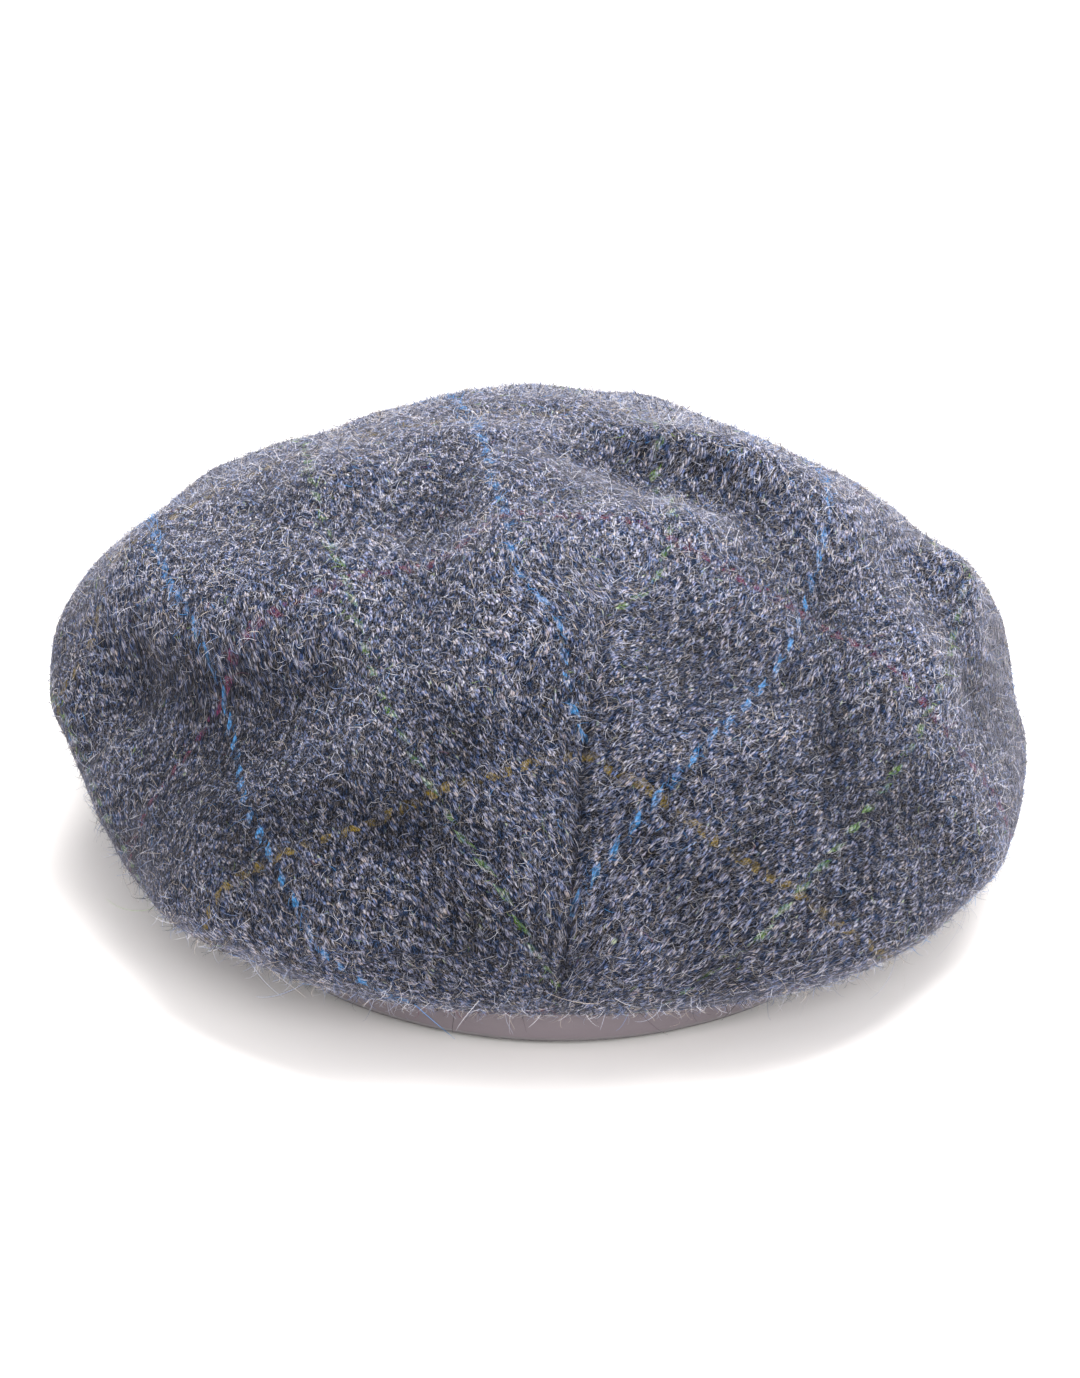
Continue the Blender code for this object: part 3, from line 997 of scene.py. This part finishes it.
@dataclass
class Crown:
    """The crown: one piece of tweed, darted and sewn at the centre back, lined inside."""

    node: bpy.types.Object
    plan: ClothPlan
    tweed: Material
    lining: Material
    levels: int = 2
    middle: Place = (0.0013, 0.0311, 0.035)
    creases_mm: tuple[Span, ...] = ((34.0, 2.2), (19.0, 1.3), (9.0, 0.5))
    swells: tuple[Swell, ...] = (
        Swell("valley at the left", (92.3, 50.0, 56.0), (54.6, 87.2, 71.0), 9, -2.2),
        Swell("its tail", (99.4, 54.3, 43.0), (92.4, 57.9, 49.7), 8, -0.9),
        Swell("roll over it", (91.7, 36.0, 76.0), (62.6, 62.0, 86.0), 9, 1.5),
        Swell("hollow low on the left", (68.0, 110.0, 47.4), (30.6, 124.8, 59.0), 12, -2.2),
        Swell("hollow beside the seam's foot", (14.7, 133.4, 42.1), (-3.0, 133.9, 39.3), 8, -0.9),
        Swell("hollow beside the seam", (-4.6, 121.0, 69.8), (-5.5, 129.4, 60.4), 7, -1.5),
        Swell("dimple above the seam", (-0.7, 101.4, 87.8), (-8.2, 98.4, 88.4), 6, -1.5),
        Swell("valley left of the middle", (20.8, 45.3, 99.9), (27.0, 91.2, 86.0), 8, -1.8),
        Swell("valley over the top", (0.7, 9.2, 99.8), (-13.1, 28.7, 99.7), 6, -1.2),
        Swell("its far end", (-13.1, 28.7, 99.7), (-50.2, 47.4, 97.0), 6, -1.6),
        Swell("roll behind the valley", (7.6, 78.0, 97.2), (-26.0, 62.0, 96.0), 11, 1.9),
        Swell("roll at the right", (-64.0, 50.0, 90.0), (-80.2, 73.8, 69.7), 9, 1.9),
        Swell("valley below that roll", (-42.4, 51.1, 94.8), (-60.0, 84.0, 76.0), 8, -2.0),
        Swell("roll across the back", (52.7, 93.9, 68.5), (14.0, 105.0, 82.0), 8, 1.0),
        Swell("sag over the seam", (17.5, 112.0, 76.0), (-18.0, 114.0, 75.0), 14, -1.5),
        Swell("sag left of the middle", (60.0, 84.0, 80.0), (30.0, 106.0, 80.0), 9, -0.8),
        Swell("valley right of the seam", (-24.0, 98.0, 86.0), (-58.0, 98.0, 74.0), 11, -1.7),
        Swell("roll right of the seam", (-33.0, 114.5, 72.1), (-46.3, 109.0, 69.0), 6, 0.9),
        Swell("hollow under that roll", (-20.0, 125.0, 64.0), (-55.0, 109.0, 63.0), 8, -1.6),
        Swell("hollow right of the seam foot", (-18.0, 133.0, 45.0), (-26.0, 132.0, 32.0), 8, -1.1),
        Swell("slack over the top", (20.0, 60.0, 97.0), (-15.0, 55.0, 100.0), 18, -0.8),
        Swell("slack right of the seam", (-14.4, 130.5, 55.5), (-34.8, 124.5, 52.6), 13, -0.9),
        Swell("slack low at the left", (92.0, 76.0, 48.0), (50.0, 121.0, 36.0), 15, -1.1),
        Swell("hollow at the right side", (-62.6, 106.5, 60.3), (-81.6, 97.8, 45.4), 9, -0.8),
        Swell("puff at the top left", (53.6, 44.2, 95.6), (64.0, 30.0, 90.0), 16, -1.4),
        Swell("back of the top", (10.0, -5.0, 99.0), (-30.0, 10.0, 99.0), 12, 1.2),
        Swell("notch at the right shoulder", (-85.0, 24.0, 77.0), (-87.2, 31.0, 74.5), 5, -3.0),
        Swell("knob at the right shoulder", (-90.6, 38.7, 73.6), (-92.3, 42.7, 70.6), 6, 4.4),
    )
    # the nap map's painted light and shade: darker in the hollows and lighter on the rolls, and
    # lighter towards the top
    nap_and_shade_reach: float = 7.0 * MM
    top_light_level: float = 70.0 * MM
    top_light_run: float = 115.0 * MM
    top_light_rise: Span = (-0.12, 0.4)
    hem_nap: float = 0.25
    hem_nap_heights: Span = (14.0 * MM, 26.0 * MM)
    still_height: float = 12.0 * MM
    still_run: float = 12.0 * MM
    sewn_start: float = 4.0 * MM
    sewn_run: float = 24.0 * MM
    groove_depth: float = 1.0 * MM
    groove_width: float = 1.2 * MM
    lip_height: float = 0.35 * MM
    lip_place: float = 3.2 * MM
    lip_width: float = 1.8 * MM
    pucker_height: float = 0.5 * MM
    pucker_place: float = 6.0 * MM
    pucker_width: float = 5.0 * MM
    pucker_pitch: float = 11.0 * MM
    # nap taken away along the seam, which also paints shade there
    matting_and_shade: float = 0.3
    matting_and_shade_width: float = 1.92 * MM
    mesh: bpy.types.Mesh | None = field(default=None, init=False)
    nap: np.ndarray | None = field(default=None, init=False)

    def build(self) -> bpy.types.Object:
        """Builds the crown and gives back its object."""
        self.mesh = finer_copy(self.node, self.levels)
        self._crease()
        self._map_cloth()
        self._dress()
        return link("crown_cloth", self.mesh, "crown_tweed", "crown")

    def _outward(self, points: np.ndarray, normals: np.ndarray) -> np.ndarray:
        """Says which points are on the outer face.

        Args:
            points: places on the crown.
            normals: the normals there.

        Returns:
            One on the outer face, minus one on the inner.
        """
        return np.where(((points - np.array(self.middle)) * normals).sum(axis=1) > 0, 1.0, -1.0)

    def _crease(self) -> None:
        """Moves the cloth in and out, and notes the nap map there.

        The map holds how far the nap stands up, with painted light and shade in it: lighter on the
        rolls and towards the top, darker in the hollows and along the seam.
        """
        points, normals = read_points(self.mesh)
        facing = self._outward(points, normals)
        height = self._slack(points)
        # painted light: the nap map grows lighter towards the top of the crown
        rise = np.clip((points[:, 2] - self.top_light_level) / self.top_light_run, *self.top_light_rise)
        edge = np.interp(points[:, 2], self.hem_nap_heights, (self.hem_nap, 0.0))
        # painted shade and light: the fold height darkens the hollows and lightens the rolls
        self.nap = np.clip(PLAIN_NAP + height / self.nap_and_shade_reach + rise + edge, 0, 1)
        relief, matted_and_shaded = self._seam(self.plan.beside_seam(self.plan.spread(points)), facing > 0)
        self.nap = np.clip(self.nap - matted_and_shaded, 0, 1)
        free = np.clip((points[:, 2] - self.still_height) / self.still_run, 0, 1)
        moved = points + (normals * facing[:, None]) * ((height + relief) * free)[:, None]
        self.mesh.vertices.foreach_set("co", moved.ravel())
        self.mesh.update()

    def _slack(self, points: np.ndarray) -> np.ndarray:
        """Gives how far the small creases and the slack folds move each point.

        Args:
            points: places on the crown.

        Returns:
            The heights in metres, positive outwards.
        """
        height = np.zeros(len(points))
        for width, depth in self.creases_mm:
            scaled = points / (width * MM)
            height += depth * MM * np.array([noise.noise(Vector(p)) for p in scaled])
        for swell in self.swells:
            height += swell.heights(points)
        return height

    def _seam(self, places: np.ndarray, outer: np.ndarray) -> tuple[np.ndarray, np.ndarray]:
        """Sinks the sewn seam: a groove between two lips, small puckers, and flattened nap.

        The nap taken away also darkens the cloth and its fibres along the seam as painted shade.

        Args:
            places: how far each point is from the seam, and how far down it.
            outer: whether it is on the outer face.

        Returns:
            The seam's heights in metres, and how much nap it takes away, which paints shade there.
        """
        aside, below = np.abs(places[:, 0]), places[:, 1]
        sewn = np.clip((below - self.sewn_start) / self.sewn_run, 0, 1)
        groove = -self.groove_depth * fade(aside, self.groove_width) * outer
        lips = self.lip_height * fade(aside - self.lip_place, self.lip_width)
        wave = np.sin(2 * math.pi * below / self.pucker_pitch + np.sign(places[:, 0]))
        puckers = self.pucker_height * wave * fade(aside - self.pucker_place, self.pucker_width)
        # flattened nap along the seam, which also paints shade on the cloth and its fibres
        matted_and_shaded = self.matting_and_shade * fade(aside, self.matting_and_shade_width)
        return sewn * (groove + lips + puckers), sewn * matted_and_shaded

    def _map_cloth(self) -> None:
        """Writes where each corner lies on the cloth, and how far it is from the seam."""
        flat = self.plan.spread(read_points(self.mesh)[0])
        corners = read_numbers(self.mesh.loops, "vertex_index", kind=np.int64)
        sizes = read_numbers(self.mesh.polygons, "loop_total", kind=np.int64)
        owner = np.repeat(np.arange(len(sizes)), sizes)
        middles = [np.bincount(owner, weights=flat[corners, k]) / sizes for k in (0, 1)]
        left = self.plan.round_the_tip(np.stack(middles, axis=1))[1] >= 0
        write_map(self.mesh, CLOTH_MAP, self.plan.threads(flat[corners], left[owner]))
        write_map(self.mesh, SEAM_MAP, self.plan.beside_seam(flat[corners]))
        write_map(self.mesh, NAP_AND_SHADE_MAP, np.stack([self.nap, self.nap], axis=1)[corners])

    def _dress(self) -> None:
        """Gives the outer face the tweed and the inner face the lining."""
        dress(self.mesh, self.tweed, self.lining)
        faces = self.mesh.polygons
        side = self._outward(read_numbers(faces, "center", 3), read_numbers(faces, "normal", 3))
        faces.foreach_set("material_index", (side < 0).astype(np.int32))


@dataclass
class Peak:
    """The peak: a stiff board covered in the crown's tweed."""

    node: bpy.types.Object
    tweed: Material
    levels: int = 2
    edge_turn: Span = (0.5, -1.0)

    def build(self) -> bpy.types.Object:
        """Builds the peak and gives back its object."""
        mesh = finer_copy(self.node, self.levels)
        places = read_points(mesh)[0][read_numbers(mesh.loops, "vertex_index", kind=np.int64)]
        plan = places[:, :2] + places[:, 2:] * np.array(self.edge_turn)
        write_map(mesh, CLOTH_MAP, plan)
        write_map(mesh, SEAM_MAP, np.ones_like(plan))
        write_map(mesh, NAP_AND_SHADE_MAP, np.full_like(plan, PLAIN_NAP))
        dress(mesh, self.tweed)
        return link("peak_cloth", mesh, "peak_tweed", "peak")


@dataclass
class Sweatband:
    """The sweatband: a satin ribbon sewn round the inside of the opening."""

    node: bpy.types.Object
    satin: Material
    levels: int = 2

    def build(self) -> bpy.types.Object:
        """Builds the sweatband and gives back its object."""
        mesh = finer_copy(self.node, self.levels)
        dress(mesh, self.satin)
        return link("sweatband_ribbon", mesh, "sweatband_satin", "sweatband")


@dataclass
class Fibres:
    """Wool fibres that the brush has raised off a piece of tweed, as fine flat ribbons."""

    name: str
    over: bpy.types.Object
    weave: Tweed
    hair: Material
    slot: str
    count: int
    seed: int
    shortest: float = 1.0 * MM
    longest: float = 3.2 * MM
    width: float = 0.1 * MM
    tip_share: float = 0.35
    root_depth: float = 0.05 * MM
    lift: float = 0.2
    droop: float = 0.45
    raised_share: float = 0.5
    raised_lift: float = 1.1
    curl: float = 2.2
    least_curl: float = 0.05
    steps: int = 4
    pale_share: float = 0.42
    dark_until: float = 0.9
    yarn_share: float = 0.55
    check_shares: tuple[float, ...] = (0.5, 0.16, 0.3, 0.34)
    check_numbers: tuple[float, ...] = (0.92, 0.95, 0.98, 0.995)
    matted_share: float = 0.5
    root_heights: Span = (0.0, 1.0)
    lowest: float = 0.3 * MM

    def build(self) -> bpy.types.Object:
        """Builds the fibres as one joined mesh and gives back its object."""
        draw = np.random.default_rng(self.seed)
        roots, normals, nap, places = self._roots(draw)
        raised = draw.random(self.count) < self.raised_share
        lines = self._lines(draw, roots, normals, raised)
        number = self._numbers(draw, places, raised)
        mesh = self._ribbons(draw, lines, np.stack([number, nap], axis=1))
        mesh.materials.append(self.hair)
        return link(self.name, mesh, self.slot)

    def _numbers(
        self, draw: np.random.Generator, places: np.ndarray, raised: np.ndarray
    ) -> np.ndarray:
        """Picks each fibre's number in the blend: pale off the warp, dark off the weft.

        Args:
            draw: the source of chance.
            places: where the fibres root in the cloth.
            raised: which fibres the brush has raised.

        Returns:
            The numbers, from 0 to 1.
        """
        number = draw.random(self.count)
        number = np.where(raised, number * self.pale_share, number)
        own = draw.random(self.count)
        dark = self.pale_share + own * (self.dark_until - self.pale_share)
        yarn = np.where(self.weave.warp_lies_up(places), own * self.pale_share, dark)
        number = np.where(draw.random(self.count) < self.yarn_share, yarn, number)
        thread = self.weave.check_thread(places)
        on_check = (thread >= 0) & (draw.random(self.count) < np.array(self.check_shares)[thread])
        return np.where(on_check, np.array(self.check_numbers)[thread], number)

    def _roots(self, draw: np.random.Generator) -> tuple[np.ndarray, ...]:
        """Picks where the fibres leave the tweed: by area, and more where the nap map is higher.

        That map holds how far the nap stands up, with painted light and shade in it.

        Args:
            draw: the source of chance.

        Returns:
            The places, the normals there, the nap map there, and the cloth map there.
        """
        mesh = self.over.data
        mesh.calc_loop_triangles()
        triangles = mesh.loop_triangles
        tweed = read_numbers(triangles, "material_index", kind=np.int64) == 0
        loops = read_numbers(triangles, "loops", 3, np.int64)[tweed]
        corners = read_numbers(triangles, "vertices", 3, np.int64)[tweed]
        naps = read_numbers(mesh.uv_layers[NAP_AND_SHADE_MAP].uv, "vector", 2)[loops[:, 0], 0]
        cloth = read_numbers(mesh.uv_layers[CLOTH_MAP].uv, "vector", 2)
        points, normals = read_points(mesh)
        a, b, c = (points[corners[:, k]] for k in range(3))
        area = np.linalg.norm(np.cross(b - a, c - a), axis=1) * (self.matted_share + naps)
        low, high = self.root_heights
        area = area * ((a[:, 2] > low) & (a[:, 2] < high))
        chosen = draw.choice(len(corners), self.count, p=area / area.sum())
        first, second = draw.random(self.count), draw.random(self.count)
        fold = first + second > 1
        first, second = np.where(fold, 1 - first, first), np.where(fold, 1 - second, second)
        shares = np.stack([1 - first - second, first, second], axis=1)[:, :, None]
        where = (points[corners[chosen]] * shares).sum(axis=1)
        facing = (normals[corners[chosen]] * shares).sum(axis=1)
        places = (cloth[loops[chosen]] * shares).sum(axis=1)
        facing /= np.linalg.norm(facing, axis=1, keepdims=True)
        return where, facing, naps[chosen], places

    def _lines(
        self, draw: np.random.Generator, roots: np.ndarray, normals: np.ndarray, raised: np.ndarray
    ) -> np.ndarray:
        """Lays each fibre along the cloth, a little lifted and bent.

        Args:
            draw: the source of chance.
            roots: where the fibres leave the cloth.
            normals: the normals there.
            raised: which fibres the brush has raised.

        Returns:
            The points along each fibre.
        """
        random = draw.normal(size=(self.count, 3))
        along = random - normals * (random * normals).sum(axis=1, keepdims=True)
        along /= np.linalg.norm(along, axis=1, keepdims=True)
        aside = np.cross(normals, along)
        length = draw.uniform(self.shortest, self.longest, self.count)[:, None]
        rise = np.abs(draw.normal(0, np.where(raised, self.raised_lift, self.lift)))[:, None]
        bend = draw.normal(0, self.curl, self.count)[:, None]
        bend = np.where(np.abs(bend) < self.least_curl, self.least_curl, bend)
        foot = roots - normals * self.root_depth
        rows = []
        for step in np.linspace(0, 1, self.steps + 1):
            arch = rise * (step - self.droop * step ** 2)
            ahead, beside = np.sin(bend * step) / bend, (1 - np.cos(bend * step)) / bend
            rows.append(foot + length * (along * ahead + aside * beside + normals * arch))
        lines = np.stack(rows, axis=1)
        lines[:, :, 2] = np.maximum(lines[:, :, 2], self.lowest)
        return lines

    def _ribbons(
        self, draw: np.random.Generator, lines: np.ndarray, own: np.ndarray
    ) -> bpy.types.Mesh:
        """Gives each fibre its width, turned any way, and its own numbers on the hair map.

        Args:
            draw: the source of chance.
            lines: the points along each fibre.
            own: each fibre's number and nap.

        Returns:
            The joined mesh.
        """
        count, rows = lines.shape[:2]
        across = np.cross(lines[:, -1] - lines[:, 0], draw.normal(size=(count, 3)))
        across /= np.linalg.norm(across, axis=1, keepdims=True) + 1e-12
        taper = np.linspace(1, self.tip_share, rows)[None, :, None] * self.width / 2
        sides = across[:, None, :] * taper
        points = np.stack([lines - sides, lines + sides], axis=2).reshape(-1, 3)
        base = (np.arange(count) * rows * 2)[:, None]
        first = (base + (np.arange(rows - 1) * 2)[None, :]).ravel()
        faces = np.stack([first, first + 1, first + 3, first + 2], axis=1)
        mesh = bpy.data.meshes.new(self.name)
        mesh.vertices.add(len(points))
        mesh.vertices.foreach_set("co", points.ravel())
        mesh.loops.add(faces.size)
        mesh.loops.foreach_set("vertex_index", faces.ravel().astype(np.int32))
        mesh.polygons.add(len(faces))
        mesh.polygons.foreach_set("loop_start", np.arange(0, faces.size, 4, dtype=np.int32))
        mesh.update(calc_edges=True)
        write_map(mesh, HAIR_MAP, np.repeat(own, (rows - 1) * 4, axis=0))
        return mesh


@dataclass(frozen=True)
class SoftBox:
    """One square soft light: its place and size in metres, and its power in watts."""

    name: str
    place: Place
    size: float
    power: float


@dataclass
class Studio:
    """The pale floor, the soft lights and the camera."""

    floor_size: float = 6.0
    paper: FloorPaper = FloorPaper()
    surround: str = "fdfdff"
    surround_strength: float = 1.05
    soft_boxes: tuple[SoftBox, ...] = (
        SoftBox("overhead", (-0.4, -0.45, 1.8), 1.5, 73.0),
        SoftBox("front", (-0.5, 1.75, 1.05), 1.3, 30.0),
    )
    target: Place = (-0.0005, 0.0191, 0.0349)
    azimuth: float = 176.5
    elevation: float = 26.8
    distance: float = 0.932
    lens_mm: float = 105.0
    sensor_mm: float = 36.0

    def build(self) -> None:
        """Builds the floor, lights the scene and sets up the camera."""
        self._floor()
        self._lights()
        self._camera()

    def _floor(self) -> None:
        """Lays the floor under the cap."""
        plane = bmesh.new()
        bmesh.ops.create_grid(plane, x_segments=2, y_segments=2, size=self.floor_size / 2)
        mesh = bpy.data.meshes.new("floor")
        plane.to_mesh(mesh)
        plane.free()
        mesh.materials.append(self.paper.make())
        floor = bpy.data.objects.new("floor", mesh)
        bpy.context.scene.collection.objects.link(floor)

    def _lights(self) -> None:
        """Hangs the soft boxes and sets the white surround."""
        scene = bpy.context.scene
        scene.view_settings.view_transform = "Standard"
        world = bpy.data.worlds.new("surround")
        world.use_nodes = True
        background = world.node_tree.nodes["Background"]
        background.inputs["Color"].default_value = linear(self.surround)
        background.inputs["Strength"].default_value = self.surround_strength
        scene.world = world
        for box in self.soft_boxes:
            lamp = bpy.data.lights.new(box.name, "AREA")
            lamp.size = box.size
            lamp.energy = box.power
            self._aim(box.name, lamp, Vector(box.place))

    def _camera(self) -> None:
        """Stands the camera behind the cap, a little above it and to the wearer's left."""
        turn, rise = math.radians(self.azimuth), math.radians(self.elevation)
        level = math.cos(rise)
        back = Vector((math.sin(turn) * level, -math.cos(turn) * level, math.sin(rise)))
        view = bpy.data.cameras.new("camera")
        view.lens = self.lens_mm
        view.sensor_width = self.sensor_mm
        place = Vector(self.target) + back * self.distance
        bpy.context.scene.camera = self._aim("camera", view, place)

    def _aim(self, name: str, data: bpy.types.ID, place: Vector) -> bpy.types.Object:
        """Stands a light or the camera somewhere, turned to the cap.

        Args:
            name: its name.
            data: the light's or the camera's own settings.
            place: where it stands.

        Returns:
            Its object.
        """
        holder = bpy.data.objects.new(name, data)
        holder.location = place
        holder.rotation_euler = (Vector(self.target) - place).to_track_quat("-Z", "Y").to_euler()
        bpy.context.scene.collection.objects.link(holder)
        return holder


def report(piece: bpy.types.Object) -> bpy.types.Object:
    """Logs a finished piece and hands it on."""
    LOG.info("%s: %d faces", piece.name, len(piece.data.polygons))
    return piece


def main() -> None:
    """Builds each piece in order."""
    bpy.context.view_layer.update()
    nodes = frame["nodes"]
    weave = Tweed()
    tweed = weave.make()
    satin = Satin().make()
    hair = WoolHair().make()
    crown = report(Crown(nodes["crown"], ClothPlan(), tweed, satin).build())
    peak = report(Peak(nodes["peak"], tweed).build())
    report(Sweatband(nodes["sweatband"], satin).build())
    on_crown = {"over": crown, "weave": weave, "hair": hair, "slot": "crown_tweed"}
    on_peak = {"over": peak, "weave": weave, "hair": hair, "slot": "peak_tweed"}
    lots = 5
    for number in range(1, lots + 1):
        name = f"crown_fibres_{number}"
        report(Fibres(name, count=22000, seed=number, **on_crown).build())
    report(Fibres(
        "stray_fibres", count=700, seed=8, shortest=4 * MM, longest=9 * MM, width=0.09 * MM,
        lift=0.15, raised_lift=0.45, steps=8, curl=1.6, **on_crown,
    ).build())
    report(Fibres(
        "hem_fibres", count=130, seed=7, shortest=5 * MM, longest=15 * MM, width=0.12 * MM,
        lift=0.4, raised_share=0.7, raised_lift=0.8, steps=10, curl=1.8,
        root_heights=(12 * MM, 22 * MM), **on_crown,
    ).build())
    report(Fibres("peak_fibres", count=8000, seed=9, **on_peak).build())
    Studio().build()
    LOG.info("studio: floor, lights and camera")


if __name__ == "__main__":
    main()
